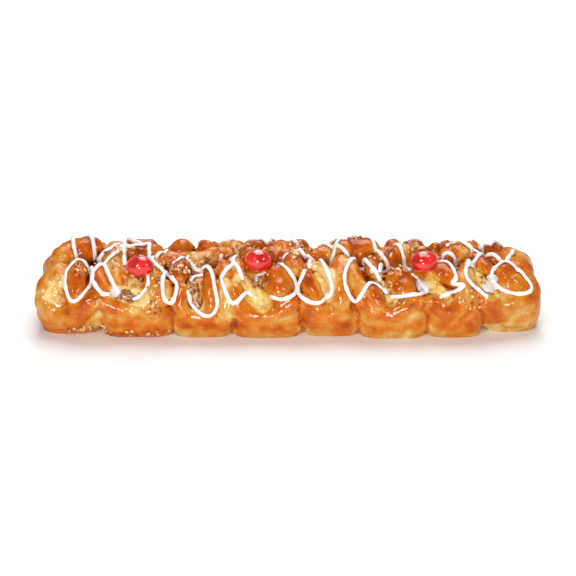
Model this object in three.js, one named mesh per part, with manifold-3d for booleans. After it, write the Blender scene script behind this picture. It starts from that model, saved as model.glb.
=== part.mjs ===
// A long filled plait of glazed yeast dough. Folds of dough rise from the base on both sides and cross over the top.
// Slits between them show an apple filling that runs through the loaf. Icing is drizzled over the top in loops, with
// chopped nuts and three glazed cherry halves. Millimetres, +Z up, the length along X, the shown side towards -Y,
// and the origin at the middle of the base.
import * as THREE from "three";
import { mergeVertices } from "three/addons/utils/BufferGeometryUtils.js";
import Module from "manifold-3d";

const LENGTH = 411;
const WIDTH = 108;
const HEIGHT = 69;

// The section is a rounded arch. A place on it is an x and an angle, 0 at the front, 90 on top and 180 at the back.
const SECTION = { half: WIDTH / 2 - 1, height: HEIGHT - 9.5, middle: 22, squareness: 0.85 };
const END = { reach: LENGTH / 2 + 5, power: 11 };
const TOP_END = { reach: LENGTH / 2 + 3, power: 10 };

const FOLD = { steps: 4, taper: 0.22 };
const CREASE = 2.5;
const RUN_IN = { width: 8, low: 8, high: 22 };
const LOBE = { overlap: 2.5, across: 27, height: 17, setBack: 2, endSetBack: 6, power: 4, endPower: 3 };
const SLIT = { depth: 4, reach: 11 };
const CORE = { half: new THREE.Vector3(LENGTH / 2 - 26, 25, 5), round: 16, height: 23 };
const AXIS = { half: LENGTH / 2 - 34, height: 24 };
const RINGS = { around: 26, along: 66, atEachEnd: 5, crowding: 0.42 };
const MARCH = { from: 90, steps: 80, stride: 0.9, near: 0.02 };

const FILLING = { half: LENGTH / 2 - 30, up: 13, across: 26, height: 26, depth: 17, reach: 14 };
const CHERRY = { size: [11.5, 9.5, 9.5], rise: 3 };
const GAP = 0.35;
const ICING = { width: 4, sides: 4, step: 12, rise: 0.3 };
const NUT = { smallest: 1.5, spread: 1, shape: [1.3, 1, 0.8], rise: 0.6, seed: 7 };

// The front lobes from left to right, and the back ones when turned round. Each has the x where it meets its
// neighbours, how far its front stands back, its half height and a slit. A slit and a fold are a list of places,
// then a slit's half width, or a fold's radius and how far it rises over the section.
const LOBES = [
  { from: -201, to: -149, back: 3, up: 24, slit: [[[-188, 22], [-182, 46]], 4.8], folds: [
    [[[-184, 78], [-193, 44], [-196, 18]], 10, 2.5],
    [[[-195, 10], [-190, -2]], 12, 3],
    [[[-168, 66], [-169, 44], [-170, 22]], 10, 3],
    [[[-152, 20], [-166, 4], [-180, -14]], 10.5, 3],
  ] },
  { from: -149, to: -92, back: 2.5, up: 27, slit: [[[-136, 27], [-116, 18]], 5], folds: [
    [[[-152, 62], [-150, 44], [-144, 27]], 7.5, 2.2],
    [[[-141, 80], [-139, 60], [-136, 36]], 8.5, 1.5],
    [[[-133, 72], [-130, 52]], 7.5, 2],
    [[[-123, 42], [-121, 32]], 7.5, 1.5],
    [[[-106, 70], [-106, 44], [-108, 22]], 10, 2],
    [[[-146, 14], [-137, 6], [-126, 3]], 10.5, 2.5],
    [[[-118, 5], [-110, 8], [-101, 20]], 11.5, 2.5],
  ] },
  { from: -92, to: -45, back: 2, up: 27, slit: [[[-77, 38], [-72, 10]], 4.6], folds: [
    [[[-86, 66], [-87, 48]], 8.5, 2.5],
    [[[-97, 40], [-95, 22]], 6, 1],
    [[[-84, 32], [-87, 12], [-80, -4], [-68, -8], [-61, 8], [-61, 32], [-63, 56]], 8, 2],
    [[[-52, 68], [-50, 56]], 8, 2],
    [[[-50, 40], [-49, 10], [-50, -14]], 9.5, 0.5],
  ] },
  { from: -45, to: 11, back: 1, up: 27, slit: [[[-36, 42], [-20, 14]], 6.2], folds: [
    [[[-41, 72], [-39, 54]], 8.5, 1.8],
    [[[-42, 30], [-39, 8], [-28, -3], [-12, -2], [2, 14]], 11, 2],
    [[[-9, 54], [-7, 32]], 14, 3],
    [[[4, 78], [6, 62]], 10.5, 2.5],
  ] },
  { from: 13, to: 57, back: 4, up: 27, slit: [[[24, 52], [31, 24]], 5], folds: [
    [[[14, 52], [19, 34], [23, 18]], 8.5, 2],
    [[[17, 66], [26, 66], [33, 50], [35, 36]], 5.5, 1.5],
    [[[43, 76], [41, 40], [42, 4]], 11, 2],
    [[[15, 14], [20, 0], [32, -4], [44, 0]], 11, 2],
  ] },
  { from: 57, to: 111, back: 0, up: 27, slit: [[[71, 49], [82, 18]], 4], folds: [
    [[[50, 70], [54, 46], [58, 26]], 8, 1.5],
    [[[66, 72], [70, 56]], 8, 2],
    [[[60, 34], [68, 26], [72, 12]], 8, 3],
    [[[60, 14], [68, 2], [84, -1], [102, 16]], 11, 1.5],
    [[[88, 50], [91, 34]], 15.5, 2.5],
  ] },
  { from: 111, to: 155, back: 2, up: 27, slit: [[[114, 44], [124, 20]], 5.4], folds: [
    [[[114, 58], [124, 60], [132, 46]], 9, 2.5],
    [[[143, 64], [141, 42], [138, 20]], 9.5, 2],
    [[[114, 14], [124, 2], [138, 8], [148, 24]], 11, 2],
  ] },
  { from: 157, to: 203, back: 7, up: 24, slit: [[[150, 52], [161, 24]], 5.6], folds: [
    [[[147, 86], [154, 76], [159, 64]], 8.5, 2],
    [[[174, 60], [178, 48], [186, 32]], 13.5, 3],
    [[[180, 82], [190, 62]], 10, 2],
    [[[193, 54], [194, 10]], 11, 1.5],
    [[[158, 14], [166, 2], [180, 1], [194, 14]], 12, 2],
  ] },
];

// The fold that goes over the left end
const END_FOLD = [[[-182, 56], [-186, 90], [-186, 126]], 15, 2];

// The folds that cross on the ridge
const RIDGE = [
  [[[-183, 86], [-174, 96], [-159, 96]], 13, 10],
  [[[-146, 84], [-134, 98]], 10, 2.5],
  [[[-124, 98], [-110, 102]], 12, 1.5],
  [[[-106, 88], [-94, 84], [-86, 76]], 10, -2],
  [[[-96, 98], [-84, 96], [-76, 88]], 10.5, -4],
  [[[-77, 92], [-66, 96], [-58, 104]], 11, -2.5],
  [[[-54, 94], [-44, 98]], 11.5, 1],
  [[[-32, 96], [-26, 90]], 10, 1],
  [[[-13, 96], [-2, 92]], 12, 0.5],
  [[[8, 100], [18, 92]], 9.5, 0],
  [[[22, 88], [30, 94], [37, 102]], 10, 1.5],
  [[[46, 92], [54, 98], [66, 96]], 13, 7],
  [[[76, 88], [84, 94], [91, 98]], 11, 1],
  [[[96, 100], [108, 90]], 11, 1.5],
  [[[131, 90], [141, 96], [149, 96]], 12, 3.5],
  [[[168, 86], [180, 92]], 11, 2.5],
  [[[184, 80], [192, 100]], 12, 1],
];

// The places of the cherries
const CHERRIES = { cherry_left: [-117.5, 58], cherry_middle: [-24, 67], cherry_right: [108.5, 65] };

// Each stroke of icing is a smooth line through places on the section
const STROKES = [
  [[-176, 108], [-172, 86], [-163, 71], [-155, 53], [-160, 29], [-170, 16], [-176, 34], [-176, 60], [-166, 74],
    [-153, 78], [-138, 95]],
  [[-133, 96], [-142, 77], [-154, 56], [-155, 43], [-147, 26], [-142, 25]],
  [[-99, 98], [-109, 72], [-96, 52], [-88, 36], [-92, 14], [-98, 22], [-99, 46], [-94, 65], [-81, 87]],
  [[-82, 83], [-63, 59], [-58, 34], [-56, 12], [-61, 2], [-71, 4], [-77, 13], [-79, 28]],
  [[-57, 85], [-44, 70], [-52, 50], [-52, 40], [-44, 15], [-33, 27]],
  [[-25, 46], [-25, 56], [-21, 61], [1, 86], [9, 92], [24, 77], [40, 92], [48, 108]],
  [[-11, 73], [2, 54], [7, 35], [6, 26], [-4, 19], [-13, 22]],
  [[13, 54], [8, 34], [10, 22], [23, 14], [34, 25], [33, 45], [24, 76], [18, 71], [17, 61]],
  [[56, 79], [49, 67], [45, 49], [46, 33], [53, 15], [62, 35], [68, 40], [78, 28]],
  [[85, 77], [96, 70], [106, 41], [110, 28], [96, 25], [82, 22]],
  [[118, 71], [128, 67], [133, 47], [130, 39], [139, 36], [134, 30], [121, 21]],
  [[149, 71], [161, 85], [182, 63], [193, 34], [184, 23], [168, 32], [163, 56], [175, 75], [182, 92]],
];

// The back has one of the strokes, turned round
const BACK_STROKES = [STROKES[3].map(([x, degrees]) => [-x, 180 - degrees])];

// Where chopped nuts lie, as [x, angle, half length, half angle, count]
const NUT_PATCHES = [
  [-162, 60, 6, 10, 1], [-138, 92, 8, 9, 2], [-120, 92, 7, 12, 2], [-105, 35, 5, 26, 2], [-99, 65, 6, 10, 2],
  [-79, 57, 9, 6, 1], [-69, 79, 10, 9, 2], [-37, 90, 15, 8, 3], [-24, 46, 9, 12, 2], [6, 88, 5, 12, 2],
  [40, 103, 5, 5, 1], [71, 81, 5, 6, 1], [90, 62, 8, 9, 2], [103, 95, 6, 8, 2], [141, 79, 7, 5, 1],
];

const radians = THREE.MathUtils.degToRad;
const lerp = THREE.MathUtils.lerp;

function bulged(value) {
  return Math.sign(value) * Math.pow(Math.abs(value), SECTION.squareness);
}

// How far the front stands back at x, even between the middles of the lobes
function standsBack(x) {
  const middles = LOBES.map(({ from, to, back }) => [(from + to) / 2, back]);
  const next = middles.findIndex(([middle]) => middle > x);
  if (next < 1) return middles.at(next)[1];
  const [[x0, back0], [x1, back1]] = middles.slice(next - 1, next + 1);
  return lerp(back0, back1, (x - x0) / (x1 - x0));
}

const taper = (x, { reach, power }) => Math.sqrt(1 - Math.pow(Math.min(Math.abs(x) / reach, 1), power));

// The point of the section at x and an angle, as deep under it as asked
function onSection(x, degrees, depth = 0) {
  const angle = radians(degrees);
  const half = (SECTION.half - standsBack(degrees > 90 ? -x : x)) * taper(x, END);
  const below = degrees < 0 || degrees > 180;
  const up = below ? SECTION.middle : (SECTION.height - SECTION.middle) * taper(x, TOP_END);
  const across = bulged(Math.cos(angle)) * (half - depth);
  return new THREE.Vector3(x, -across, SECTION.middle + bulged(Math.sin(angle)) * (up - depth));
}

const turned = ([places, ...sizes]) => [places.map(([x, degrees]) => [-x, 180 - degrees]), ...sizes];
const onBothSides = (rows) => rows.concat(rows.map(turned));

// The place at a share of the way through some places
function placeAt(places, share) {
  const index = Math.min(Math.floor(share * (places.length - 1)), places.length - 2);
  const part = share * (places.length - 1) - index;
  return [0, 1].map((axis) => lerp(places[index][axis], places[index + 1][axis], part));
}

// A sausage under the section, thinner at its ends, with a ball round it that says where it can be skipped
function sausage([places, radius, rise]) {
  const steps = FOLD.steps * (places.length - 1);
  const radii = [];
  const line = [];
  for (let step = 0; step <= steps; step++) {
    const share = step / steps;
    radii.push(radius * (1 - FOLD.taper * (2 * share - 1) ** 2));
    line.push(onSection(...placeAt(places, share), radii[step] - rise));
  }
  return { line, radii, radius, ball: new THREE.Sphere().setFromPoints(line) };
}

const nearest = new THREE.Vector3();
const segment = new THREE.Line3();

function sausageDistance(point, { line, radii }) {
  let best = Infinity;
  for (let i = 1; i < line.length; i++) {
    segment.set(line[i - 1], line[i]);
    const share = segment.closestPointToPointParameter(point, true);
    segment.at(share, nearest);
    best = Math.min(best, nearest.distanceTo(point) - lerp(radii[i - 1], radii[i], share));
  }
  return best;
}

// A lobe is round seen from its end, with fuller shoulders seen from its side
function lobeDistance(point, { middle, radii, power }) {
  const offset = point.clone().sub(middle).divide(radii);
  const along = Math.abs(offset.x);
  const around = Math.hypot(offset.y, offset.z);
  const steep = Math.hypot(offset.y / radii.y, offset.z / radii.z) / Math.max(around, 1e-6);
  const near = Math.max(Math.pow(along ** power + around ** power, 1 / power), 1e-6);
  const slope = Math.hypot((along / near) ** (power - 1) / radii.x, (around / near) ** (power - 1) * steep);
  return (near - 1) / Math.max(slope, 1e-3);
}

// The body that the folds lie on, a block with round edges
function coreDistance(point) {
  const out = new THREE.Vector3(Math.abs(point.x), Math.abs(point.y), Math.abs(point.z - CORE.height));
  out.sub(CORE.half);
  const inside = Math.min(Math.max(out.x, out.y, out.z), 0);
  return out.max(new THREE.Vector3()).length() + inside - CORE.round;
}

const folds = [...onBothSides([...LOBES.flatMap((lobe) => lobe.folds), END_FOLD]), ...RIDGE].map(sausage);

const bases = LOBES.flatMap(({ from, to, back, up }, index) => {
  const atEnd = index === 0 || index === LOBES.length - 1;
  const inwards = LOBE.across + (atEnd ? LOBE.endSetBack : LOBE.setBack) + back - SECTION.half;
  return [1, -1].map((side) => ({
    middle: new THREE.Vector3((side * (from + to)) / 2, side * inwards, LOBE.height),
    radii: new THREE.Vector3((to - from) / 2 + LOBE.overlap, LOBE.across, up),
    power: atEnd ? LOBE.endPower : LOBE.power,
  }));
});

const slitRows = onBothSides(LOBES.map((lobe) => lobe.slit));

// The distance to two bodies that meet in a crease of some width, from the distances to the nearer and the farther
function softUnion(nearer, farther, crease) {
  const overlap = Math.max(0, crease - (farther - nearer));
  return nearer - (overlap * overlap) / (4 * crease);
}

// How far a point is outside the dough. Its bodies meet in narrow creases, but low down the folds run into the lobes.
function doughDistance(point) {
  let first = coreDistance(point);
  let second = Infinity;
  let fold = Infinity;
  const add = (distance) => {
    if (distance < first) [first, second] = [distance, first];
    else second = Math.min(second, distance);
  };
  bases.forEach((body) => add(lobeDistance(point, body)));
  const base = first;
  folds.forEach((body) => {
    if (body.ball.distanceToPoint(point) - body.radius > Math.max(second, first + RUN_IN.width)) return;
    const distance = sausageDistance(point, body);
    fold = Math.min(fold, distance);
    add(distance);
  });
  const creased = softUnion(first, second, CREASE);
  const share = 1 - THREE.MathUtils.smoothstep(point.z, RUN_IN.low, RUN_IN.high);
  if (share === 0) return creased;
  return Math.min(creased, softUnion(Math.min(base, fold), Math.max(base, fold), RUN_IN.width * share));
}

// Where a ray from inside the loaf last leaves the dough or the flat base, found from outside
function crustPoint(origin, direction) {
  const point = new THREE.Vector3();
  let travel = MARCH.from;
  for (let step = 0; step < MARCH.steps; step++) {
    point.copy(direction).multiplyScalar(travel).add(origin);
    const distance = Math.max(doughDistance(point), -point.z);
    if (distance < MARCH.near) break;
    travel -= distance * MARCH.stride;
  }
  if (point.z < 2 * MARCH.near) point.z = 0;
  return point;
}

// The crust at a place on the section, and the way out from there
function onCrust(x, degrees) {
  const origin = new THREE.Vector3(THREE.MathUtils.clamp(x, -AXIS.half, AXIS.half), 0, AXIS.height);
  const out = onSection(x, degrees).sub(origin).normalize();
  return { point: crustPoint(origin, out), out };
}

const wasm = await Module();
wasm.setup();

function solidOf(geometry) {
  const bare = new THREE.BufferGeometry().setAttribute("position", geometry.getAttribute("position"));
  bare.setIndex(geometry.index);
  const closed = mergeVertices(bare, 1e-3);
  const vertProperties = new Float32Array(closed.attributes.position.array);
  const triVerts = new Uint32Array(closed.index.array);
  return new wasm.Manifold(new wasm.Mesh({ numProp: 3, vertProperties, triVerts }));
}

function meshOf(name, solid, color, roughness) {
  const { vertProperties, triVerts, numProp } = solid.getMesh();
  const geometry = new THREE.BufferGeometry();
  const buffer = new THREE.InterleavedBuffer(vertProperties, numProp);
  geometry.setAttribute("position", new THREE.InterleavedBufferAttribute(buffer, 3, 0));
  geometry.setIndex(new THREE.BufferAttribute(triVerts, 1));
  geometry.computeVertexNormals();
  const mesh = new THREE.Mesh(geometry, new THREE.MeshStandardMaterial({ color, roughness }));
  mesh.name = name;
  return mesh;
}

const join = (solids) => solids.reduce((whole, piece) => whole.add(piece));

function biggestPiece(solid) {
  return solid.decompose().reduce((best, piece) => (piece.volume() > best.volume() ? piece : best));
}

// The crust is a ball's net drawn over the dough: its poles are the loaf's ends, and its lines crowd towards the top
function crustSolid() {
  const geometry = new THREE.SphereGeometry(1, RINGS.around, RINGS.along);
  const position = geometry.getAttribute("position");
  const vertex = new THREE.Vector3();
  const end = RINGS.atEachEnd / RINGS.along;
  for (let i = 0; i < position.count; i++) {
    vertex.fromBufferAttribute(position, i);
    const share = Math.acos(THREE.MathUtils.clamp(vertex.y, -1, 1)) / Math.PI;
    const tilt = Math.min(Math.min(share, 1 - share) / end, 1) * (Math.PI / 2);
    const along = THREE.MathUtils.clamp((share - end) / (1 - 2 * end), 0, 1);
    const origin = new THREE.Vector3(lerp(-AXIS.half, AXIS.half, along), 0, AXIS.height);
    const around = Math.atan2(vertex.x, vertex.z);
    const crowded = around - RINGS.crowding * Math.sin(around);
    const out = new THREE.Vector3(share < 0.5 ? -1 : 1, Math.sin(crowded), Math.cos(crowded));
    out.multiply(new THREE.Vector3(Math.cos(tilt), Math.sin(tilt), Math.sin(tilt)));
    position.setXYZ(i, ...crustPoint(origin, out));
  }
  return solidOf(geometry);
}

// A capsule bent under the section from one place to another, and stretched towards its middle
function lumpSolid([places, radius], depth, reach) {
  const curve = new THREE.CatmullRomCurve3([0, 0.5, 1].map((t) => onSection(...placeAt(places, t), depth)));
  const length = curve.getLength();
  const geometry = new THREE.CapsuleGeometry(radius, length, 1, 6, 2);
  const position = geometry.getAttribute("position");
  const vertex = new THREE.Vector3();
  for (let i = 0; i < position.count; i++) {
    vertex.fromBufferAttribute(position, i);
    const t = THREE.MathUtils.clamp(vertex.y / length + 0.5, 0, 1);
    const place = placeAt(places, t);
    const out = onSection(...place, depth - 1).sub(onSection(...place, depth)).normalize();
    const tangent = curve.getTangent(t);
    const side = tangent.clone().cross(out).normalize();
    const point = curve.getPoint(t);
    point.addScaledVector(side, vertex.x);
    point.addScaledVector(out, (vertex.z / radius) * reach);
    point.addScaledVector(tangent, vertex.y - (t - 0.5) * length);
    position.setXYZ(i, ...point);
  }
  return solidOf(geometry);
}

// The apple filling is a roll along the loaf with a lump that rises into each slit
function fillingSolid(gap) {
  const { half, up, across, height, depth, reach } = FILLING;
  const roll = new THREE.CapsuleGeometry(up + gap, half * 2, 2, 10, 1);
  roll.rotateZ(Math.PI / 2).scale(1, across / up, 1).translate(0, 0, height);
  const lumps = slitRows.map(([places, slitHalf]) => lumpSolid([places, slitHalf - GAP + gap], depth, reach + gap));
  return join([solidOf(roll), ...lumps]);
}

function cherrySolid([x, degrees], gap) {
  const geometry = new THREE.SphereGeometry(1, 12, 7);
  const size = CHERRY.size.map((half) => half + gap);
  return solidOf(geometry.scale(...size).translate(...onSection(x, degrees, -CHERRY.rise)));
}

function strokeSolid(stroke) {
  const flat = new THREE.CatmullRomCurve3(stroke.map(([x, degrees]) => new THREE.Vector3(x, degrees, 0)));
  const rough = flat.getPoints(60).map(({ x, y }) => onSection(x, y));
  let length = 0;
  for (let i = 1; i < rough.length; i++) length += rough[i].distanceTo(rough[i - 1]);
  const steps = Math.ceil(length / ICING.step);
  const places = flat.getPoints(steps).map(({ x, y }) => {
    const { point, out } = onCrust(x, y);
    return point.addScaledVector(out, ICING.rise);
  });
  const section = new THREE.Shape();
  section.absarc(0, 0, ICING.width / 2, 0, Math.PI * 2);
  const extrudePath = new THREE.CatmullRomCurve3(places);
  return solidOf(new THREE.ExtrudeGeometry(section, { steps, extrudePath, curveSegments: ICING.sides / 2 }));
}

// Draws from 0 to 1 that are the same each time
function seededDraws(seed) {
  let state = seed;
  return () => {
    state = (state * 16807) % 2147483647;
    return state / 2147483647;
  };
}

function nutSolids() {
  const draw = seededDraws(NUT.seed);
  return NUT_PATCHES.flatMap(([x, degrees, halfLength, halfAngle, count]) =>
    Array.from({ length: count }, () => {
      const [along, round, bigness] = [draw() * 2 - 1, draw() * 2 - 1, draw()];
      const { point, out } = onCrust(x + along * halfLength, degrees + round * halfAngle);
      const size = NUT.smallest + NUT.spread * bigness;
      const geometry = new THREE.IcosahedronGeometry(size, 0);
      geometry.scale(...NUT.shape).rotateZ(draw() * Math.PI).rotateX(draw() * Math.PI);
      geometry.translate(...point.addScaledVector(out, NUT.rise));
      return solidOf(geometry);
    }),
  );
}

const slits = slitRows.map((row) => lumpSolid(row, SLIT.depth, SLIT.reach));
const toppings = [...STROKES, ...BACK_STROKES].map(strokeSolid).concat(nutSolids());
const hollows = Object.values(CHERRIES).map((place) => cherrySolid(place, GAP));
const slitted = crustSolid().subtract(join(slits));
const bread = join([slitted, ...toppings]).subtract(join([fillingSolid(GAP), ...hollows]));

const loaf = new THREE.Group();
loaf.add(meshOf("bread", biggestPiece(bread), 0xd2781e, 0.35));
loaf.add(meshOf("filling", fillingSolid(0), 0xd8b04a, 0.4));
Object.entries(CHERRIES).forEach(([name, place]) => {
  loaf.add(meshOf(name, cherrySolid(place, 0), 0xb01210, 0.15));
});

export default loaf;
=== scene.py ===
"""Dresses the braided loaf: glazed plaited dough, filling, icing, chopped nuts, cherries and a studio."""

import math
from collections import namedtuple

import bmesh
import bpy
import numpy as np
from bpy.props import FloatProperty, FloatVectorProperty, IntProperty, PointerProperty
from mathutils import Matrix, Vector, noise


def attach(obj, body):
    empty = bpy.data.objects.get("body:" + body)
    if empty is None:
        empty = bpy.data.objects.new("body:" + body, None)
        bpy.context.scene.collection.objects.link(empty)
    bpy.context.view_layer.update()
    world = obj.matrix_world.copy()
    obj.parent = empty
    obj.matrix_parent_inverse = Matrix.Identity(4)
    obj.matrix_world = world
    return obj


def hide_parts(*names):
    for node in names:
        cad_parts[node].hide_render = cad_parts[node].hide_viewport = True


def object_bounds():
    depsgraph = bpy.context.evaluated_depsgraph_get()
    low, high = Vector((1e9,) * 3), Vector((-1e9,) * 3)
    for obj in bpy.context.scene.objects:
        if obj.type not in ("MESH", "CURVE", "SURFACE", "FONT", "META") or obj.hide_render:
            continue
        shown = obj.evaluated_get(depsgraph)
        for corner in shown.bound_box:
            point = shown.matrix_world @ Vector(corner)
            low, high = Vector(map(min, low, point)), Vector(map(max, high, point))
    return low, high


bl_info = {
    "name": "Braided loaf",
    "version": (1, 0, 0),
    "blender": (4, 5, 0),
    "location": "3D View > Sidebar > Loaf",
    "description": "Makes an iced and filled plait of yeast dough, with nuts and cherries, in a small studio",
    "category": "Add Mesh",
}

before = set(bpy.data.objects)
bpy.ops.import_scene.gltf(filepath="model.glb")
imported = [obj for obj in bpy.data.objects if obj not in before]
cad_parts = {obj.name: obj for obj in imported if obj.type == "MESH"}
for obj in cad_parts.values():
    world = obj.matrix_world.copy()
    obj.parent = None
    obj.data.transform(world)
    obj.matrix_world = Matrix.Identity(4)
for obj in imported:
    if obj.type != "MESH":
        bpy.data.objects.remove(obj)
MM = 0.001
CAD_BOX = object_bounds()

# The loaf's form, in millimetres and degrees, as in the part's source.
# A place on the section is an x and an angle: 0 at the front, 90 on top and 180 at the back.
HALF_LENGTH = 205.0
SECTION_HALF = 53.0
SECTION_HEIGHT = 59.0
SECTION_MIDDLE = 22.0
SQUARENESS = 0.85
END_REACH = HALF_LENGTH + 5.0
END_POWER = 11
TOP_REACH = HALF_LENGTH + 3.0
TOP_POWER = 10
FOLD_STEPS = 4
FOLD_TAPER = 0.22
LOBE_OVERLAP = 2.5
LOBE_SET_BACK = 2.0
END_LOBE_SET_BACK = 6.0
LOBE_POWER = 4
END_LOBE_POWER = 3
LOBE_ACROSS = 27.0
LOBE_HEIGHT = 17.0
CORE_HALF = (HALF_LENGTH - 26.0, 25.0, 5.0)
CORE_ROUND = 16.0
CORE_HEIGHT = 23.0
AXIS_HALF = HALF_LENGTH - 34.0
AXIS_HEIGHT = 24.0
SLIT_DEPTH = 4.0
SLIT_REACH = 11.0
SLIT_SPREAD = 1.25
RUN_IN = 8.0
RUN_IN_LOW = 8.0
RUN_IN_HIGH = 22.0
LEAST_CREASE = 0.01
CORE_TONE = 0.5
LOBE_TONE = 0.58
BACK_TONE = 0.64
BEHIND_RIDGE = 100

# The blocks of points on which the dough and the icing are worked out, and the steps of that work
DOUGH_BLOCK = ((-212, -62, -4), (212, 62, 72))
ICING_BLOCK = ((-208, -56, 14), (208, 56, 71))
LENS_STEPS = 3
SPLINE_STEPS = 24
SETTLE_ROUNDS = 2
SETTLE_LONGEST = 0.7
LEAST_SLOPE = 0.2
TINY = 1e-6

# The crust's lumps: their sizes and shares, how far in the highest of them lies, and the flat foot's height
COARSE_LUMP = 13
COARSE_LUMP_SHARE = 0.65
FINE_LUMP = 5
FINE_LUMP_SHARE = 0.35
LUMP_TOP = 1.2
FLAT_BELOW = 1.0
SLIT_RAGGED = 0.8

# The crust's bake and its painted crease shade: how much each thing adds to its tone, and the span over which
# it comes or goes
OPEN_TONE = 0.26
OPEN_SPAN = (0.5, 8.0)
CREASE_TONE = -0.16
TONES_MEET = 3.0
TONES_MEET_LOW = 6.0
HIGH_TONE = -0.05
HIGH_SPAN = (40, 56)
FOOT_TONE = -0.25
FOOT_SPAN = (3, 16)
FOOT_WAVE = 5
UPWARD_TONE = 0.06
UPWARD_MIDDLE = 0.42
UPWARD_SPAN = (2, 16)
WIDE_PATCH_TONE = 0.2
WIDE_PATCH = 24
SMALL_PATCH_TONE = 0.1
SMALL_PATCH = 8
LEFT_FOOT_TONE = 0.24
LEFT_FOOT_HEIGHT = (9, 2)
LEFT_FOOT_PLACE = (-84, -100)
# Painted shade: the crust is drawn darker where the dough's slope drops in the creases between folds, away
# from the slits
CREASE_SHADE_TONE = 0.4
CREASE_SHADE_SPAN = (0.04, 0.3)
TORN_TONE = -0.32
TORN_SPAN = (0.8, -0.8)

# Each front lobe: where it starts and ends, how far its front stands back, its half height,
# its slit as two places and a half width, how yellow the filling is there from 0 to 1, and its folds:
# the places that each runs through, its radius, how far it rises over the section and how dark it is
Lobe = namedtuple("Lobe", "start end back up slit yellow folds")
LOBES = [
    Lobe(-201, -149, 3, 24, ([(-188, 22), (-182, 46)], 4.8), 0.95, [
        ([(-184, 78), (-193, 44), (-196, 18)], 10, 2.5, 0.44), ([(-195, 10), (-190, -2)], 12, 3, 0.62),
        ([(-168, 66), (-169, 44), (-170, 22)], 10, 3, 0.64),
        ([(-152, 20), (-166, 4), (-180, -14)], 10.5, 3, 0.62)]),
    Lobe(-149, -92, 2.5, 27, ([(-136, 27), (-116, 18)], 5), 0.1, [
        ([(-152, 62), (-150, 44), (-144, 27)], 7.5, 2.2, 0.64),
        ([(-141, 80), (-139, 60), (-136, 36)], 8.5, 1.5, 0.38),
        ([(-133, 72), (-130, 52)], 7.5, 2, 0.64), ([(-123, 42), (-121, 32)], 7.5, 1.5, 0.2),
        ([(-106, 70), (-106, 44), (-108, 22)], 10, 2, 0.5),
        ([(-146, 14), (-137, 6), (-126, 3)], 10.5, 2.5, 0.68),
        ([(-118, 5), (-110, 8), (-101, 20)], 11.5, 2.5, 0.58)]),
    Lobe(-92, -45, 2, 27, ([(-77, 38), (-72, 10)], 4.6), 0.35, [
        ([(-86, 66), (-87, 48)], 8.5, 2.5, 0.66), ([(-97, 40), (-95, 22)], 6, 1, 0.4),
        ([(-84, 32), (-87, 12), (-80, -4), (-68, -8), (-61, 8), (-61, 32), (-63, 56)], 8, 2, 0.66),
        ([(-52, 68), (-50, 56)], 8, 2, 0.6), ([(-50, 40), (-49, 10), (-50, -14)], 9.5, 0.5, 0.46)]),
    Lobe(-45, 11, 1, 27, ([(-36, 42), (-20, 14)], 6.2), 0.75, [
        ([(-41, 72), (-39, 54)], 8.5, 1.8, 0.36),
        ([(-42, 30), (-39, 8), (-28, -3), (-12, -2), (2, 14)], 11, 2, 0.64),
        ([(-9, 54), (-7, 32)], 14, 3, 0.64), ([(4, 78), (6, 62)], 10.5, 2.5, 0.66)]),
    Lobe(13, 57, 4, 27, ([(24, 52), (31, 24)], 5), 0.98, [
        ([(14, 52), (19, 34), (23, 18)], 8.5, 2, 0.64),
        ([(17, 66), (26, 66), (33, 50), (35, 36)], 5.5, 1.5, 0.2),
        ([(43, 76), (41, 40), (42, 4)], 11, 2, 0.64), ([(15, 14), (20, 0), (32, -4), (44, 0)], 11, 2, 0.6)]),
    Lobe(57, 111, 0, 27, ([(71, 49), (82, 18)], 4), 0.5, [
        ([(50, 70), (54, 46), (58, 26)], 8, 1.5, 0.6), ([(66, 72), (70, 56)], 8, 2, 0.66),
        ([(60, 34), (68, 26), (72, 12)], 8, 3, 0.64),
        ([(60, 14), (68, 2), (84, -1), (102, 16)], 11, 1.5, 0.7),
        ([(88, 50), (91, 34)], 15.5, 2.5, 0.64)]),
    Lobe(111, 155, 2, 27, ([(114, 44), (124, 20)], 5.4), 0.75, [
        ([(114, 58), (124, 60), (132, 46)], 9, 2.5, 0.64), ([(143, 64), (141, 42), (138, 20)], 9.5, 2, 0.56),
        ([(114, 14), (124, 2), (138, 8), (148, 24)], 11, 2, 0.66)]),
    Lobe(157, 203, 7, 24, ([(150, 52), (161, 24)], 5.6), 0.9, [
        ([(147, 86), (154, 76), (159, 64)], 8.5, 2, 0.6), ([(174, 60), (178, 48), (186, 32)], 13.5, 3, 0.66),
        ([(180, 82), (190, 62)], 10, 2, 0.74), ([(193, 54), (194, 10)], 11, 1.5, 0.66),
        ([(158, 14), (166, 2), (180, 1), (194, 14)], 12, 2, 0.64)]),
]
END_FOLD = ([(-182, 56), (-186, 90), (-186, 126)], 15, 2, 0.72)

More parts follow.
